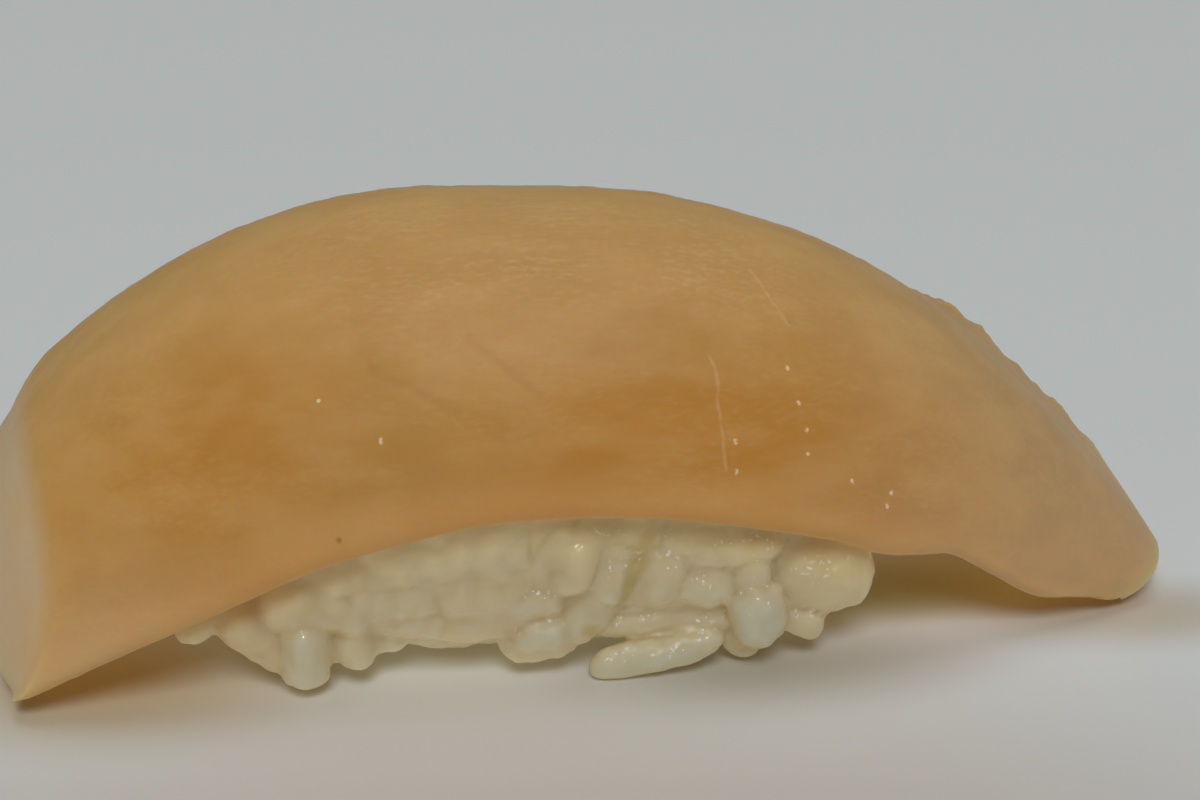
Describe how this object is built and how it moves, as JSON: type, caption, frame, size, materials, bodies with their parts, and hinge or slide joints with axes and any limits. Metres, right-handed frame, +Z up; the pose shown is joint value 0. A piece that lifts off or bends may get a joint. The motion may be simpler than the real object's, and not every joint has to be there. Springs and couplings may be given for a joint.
{
  "type": "tuna nigiri",
  "caption": "A finger of hand-pressed rice with one long slice of pale tuna draped over it and hanging past both of its ends",
  "frame": {"origin": "bottom centre of the nigiri's bounding box, on the surface it rests on", "axes": "+X runs along the slice, towards its longer overhang; -Y is the front, where the rice shows; +Z is up"},
  "size_m": [0.0776, 0.0268, 0.0273],
  "materials": {
    "tuna_flesh": "wet, translucent raw flesh",
    "sushi_rice": "sticky, slightly glossy grains"
  },
  "bodies": {
    "root": {"fish_slice": "tuna_flesh", "rice": "sushi_rice"}
  },
  "joints": []
}
